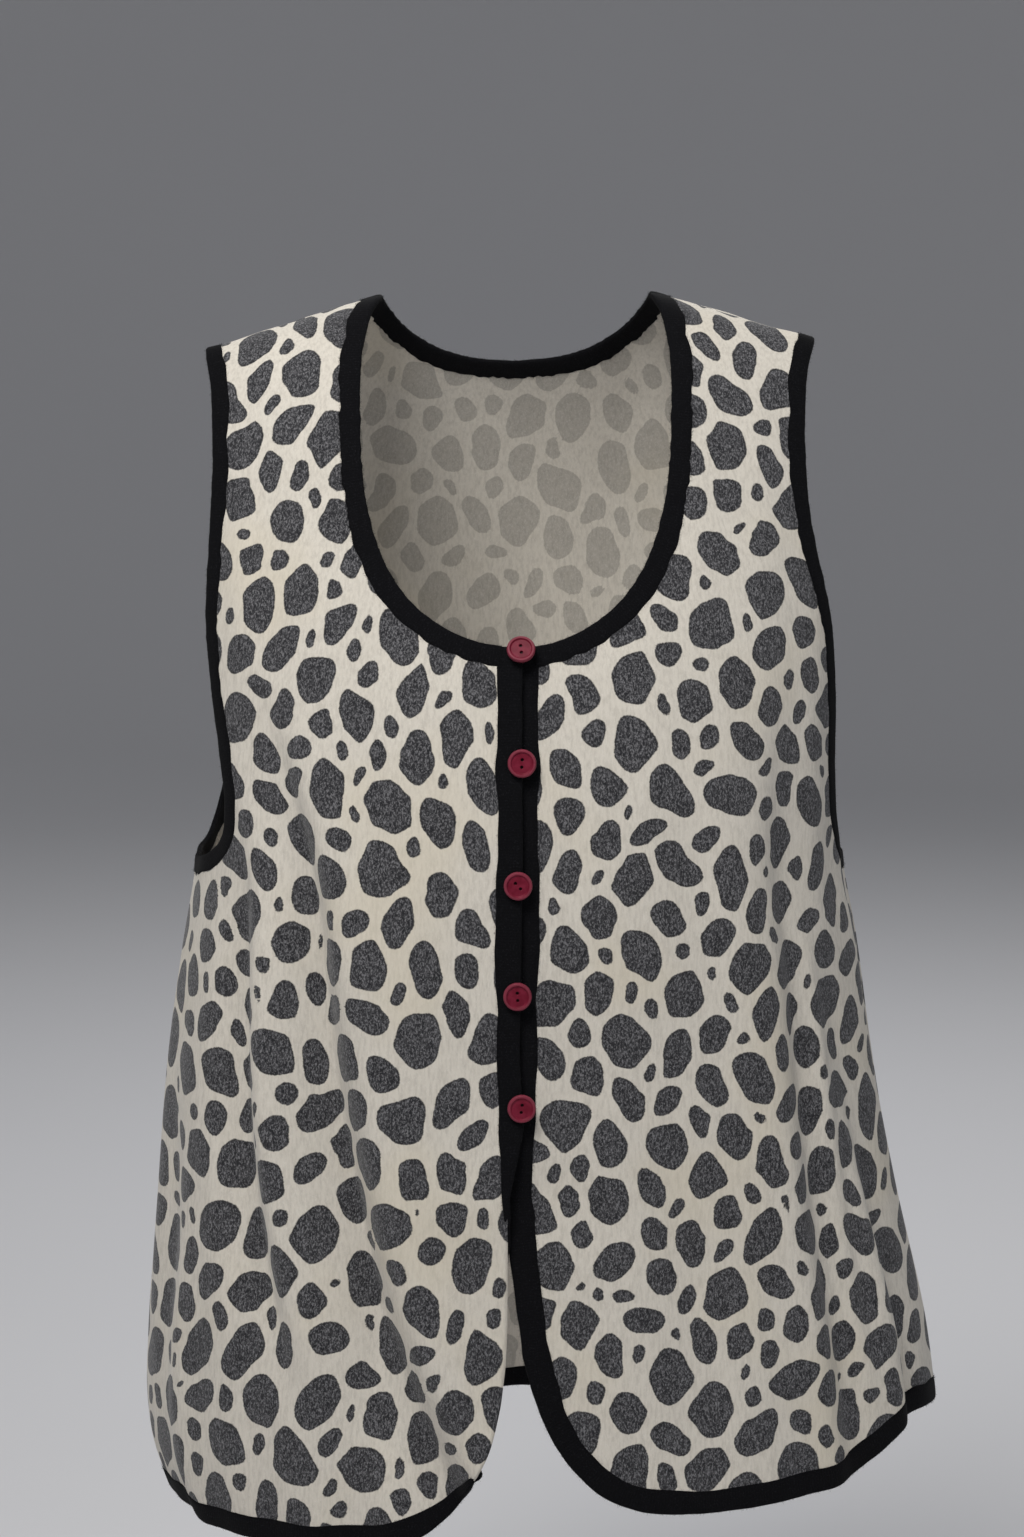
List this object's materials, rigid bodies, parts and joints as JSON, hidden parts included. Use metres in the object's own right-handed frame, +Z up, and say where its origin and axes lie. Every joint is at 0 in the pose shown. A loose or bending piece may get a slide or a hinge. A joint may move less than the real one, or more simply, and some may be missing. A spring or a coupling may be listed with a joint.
{
  "type": "knit vest",
  "caption": "Sleeveless felted knit vest with scoop neck, bound edges, rounded front hem corners and a buttoned front, in hollow worn form.",
  "frame": {"origin": "midway between the two shoulder neck points, where the shoulders carry the vest", "axes": "+Z up; the front faces -Y; +X is towards the wearer's left"},
  "size_m": [0.4521, 0.2832, 0.6849],
  "materials": {
    "cloth": "felted knit with a short nap, cream ground with charcoal spots",
    "binding": "matte black folded strip",
    "buttons": "glossy burgundy with a paler rim"
  },
  "bodies": {
    "root": {"front_right": "cloth", "front_left": "cloth", "back": "cloth", "neck_binding": "binding", "armhole_binding_right": "binding", "armhole_binding_left": "binding", "front_binding_right": "binding", "front_binding_left": "binding", "hem_binding_back": "binding", "button_1": "buttons", "button_2": "buttons", "button_3": "buttons", "button_4": "buttons", "button_5": "buttons"}
  },
  "joints": []
}
